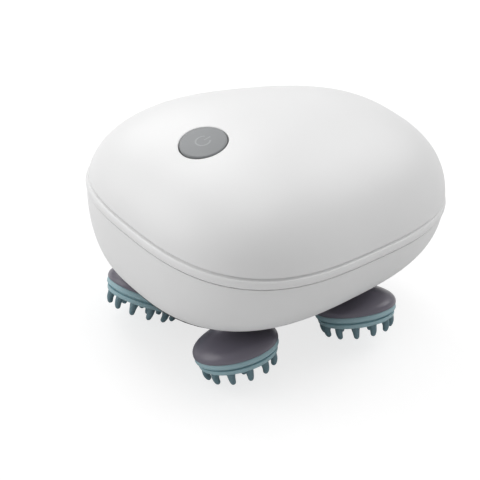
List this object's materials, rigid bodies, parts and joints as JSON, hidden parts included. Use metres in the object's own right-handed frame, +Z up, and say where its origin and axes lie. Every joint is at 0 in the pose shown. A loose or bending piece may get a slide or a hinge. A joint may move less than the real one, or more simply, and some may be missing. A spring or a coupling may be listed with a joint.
{
  "type": "electric scalp massager",
  "caption": "Palm-sized egg-shaped massager on leaning clawed heads that a worm drive turns, with a top button and a rear charging inlet.",
  "frame": {"origin": "on the surface it stands on, under the middle of the body", "axes": "+Z up, +X towards the charging inlet at the rear, the button end at -X, +Y to its right side"},
  "size_m": [0.124, 0.098, 0.08],
  "materials": {
    "white_shell": "soft satin",
    "dark_plastic": "fine matt",
    "soft_gasket": "matt silicone",
    "steel": "turned",
    "bronze": "sintered",
    "black_rubber": "matt",
    "ivory_plastic": "moulded",
    "cell_wrap": "shrink film over metal",
    "circuit_board": "solder mask",
    "black_plastic": "moulded",
    "switch_body": "moulded",
    "grey_button": "satin",
    "gear_plastic": "natural acetal",
    "charcoal_cup": "gloss",
    "silicone": "satin silicone"
  },
  "bodies": {
    "housing": {"upper_shell": "white_shell", "lower_shell": "white_shell", "base_plate": "dark_plastic", "seam_gasket": "soft_gasket", "housing_screws": "steel", "chassis": "dark_plastic", "lower_bushes": "bronze", "upper_bushes": "bronze", "shaft_seals": "black_rubber", "worm_bushes": "bronze", "motor_can": "steel", "motor_end": "ivory_plastic", "motor_clamp": "dark_plastic", "clamp_screws": "steel", "cell": "cell_wrap", "cell_cradle": "dark_plastic", "control_board": "circuit_board", "board_parts": "black_plastic", "board_screws": "steel", "tact_switch": "switch_body", "charge_board": "circuit_board", "charge_inlet": "steel"},
    "button": {"button_cap": "grey_button", "switch_plunger": "black_plastic"},
    "worm_train": {"worm_shaft": "steel", "motor_shaft": "steel", "shaft_coupling": "bronze", "front_worm": "gear_plastic", "rear_worm": "gear_plastic"},
    "front_left_head": {"front_left_wheel": "gear_plastic", "front_left_spindle": "steel", "front_left_clip": "steel", "front_left_cup": "charcoal_cup", "front_left_cup_screw": "steel", "front_left_pad": "silicone"},
    "front_right_head": {"front_right_wheel": "gear_plastic", "front_right_spindle": "steel", "front_right_clip": "steel", "front_right_cup": "charcoal_cup", "front_right_cup_screw": "steel", "front_right_pad": "silicone"},
    "rear_left_head": {"rear_left_wheel": "gear_plastic", "rear_left_spindle": "steel", "rear_left_clip": "steel", "rear_left_cup": "charcoal_cup", "rear_left_cup_screw": "steel", "rear_left_pad": "silicone"},
    "rear_right_head": {"rear_right_wheel": "gear_plastic", "rear_right_spindle": "steel", "rear_right_clip": "steel", "rear_right_cup": "charcoal_cup", "rear_right_cup_screw": "steel", "rear_right_pad": "silicone"}
  },
  "joints": [
    {"name": "front_left_spin", "type": "hinge", "parent": "housing", "child": "front_left_head", "pos_m": [-0.034, -0.02, 0.02096], "axis": [0, 0, 1], "continuous": true},
    {"name": "front_right_spin", "type": "hinge", "parent": "housing", "child": "front_right_head", "pos_m": [-0.034, 0.02, 0.02096], "axis": [0, 0, 1], "continuous": true},
    {"name": "rear_left_spin", "type": "hinge", "parent": "housing", "child": "rear_left_head", "pos_m": [0.0185, -0.02, 0.02096], "axis": [0, 0, 1], "continuous": true},
    {"name": "rear_right_spin", "type": "hinge", "parent": "housing", "child": "rear_right_head", "pos_m": [0.0185, 0.02, 0.02096], "axis": [0, 0, 1], "continuous": true},
    {"name": "worm_spin", "type": "hinge", "parent": "housing", "child": "worm_train", "pos_m": [0, 0, 0.03952], "axis": [1, 0, 0], "continuous": true},
    {"name": "button_press", "type": "slide", "parent": "housing", "child": "button", "axis": [0.3271, 0, -0.945], "range_m": [0, 0.0006], "stiffness_N_per_m": 1500}
  ],
  "couplings": [
    {"joint": "front_right_spin", "follows": "front_left_spin", "ratio": -1},
    {"joint": "rear_left_spin", "follows": "front_left_spin", "ratio": -1},
    {"joint": "rear_right_spin", "follows": "front_left_spin", "ratio": 1},
    {"joint": "worm_spin", "follows": "front_left_spin", "ratio": 36}
  ]
}
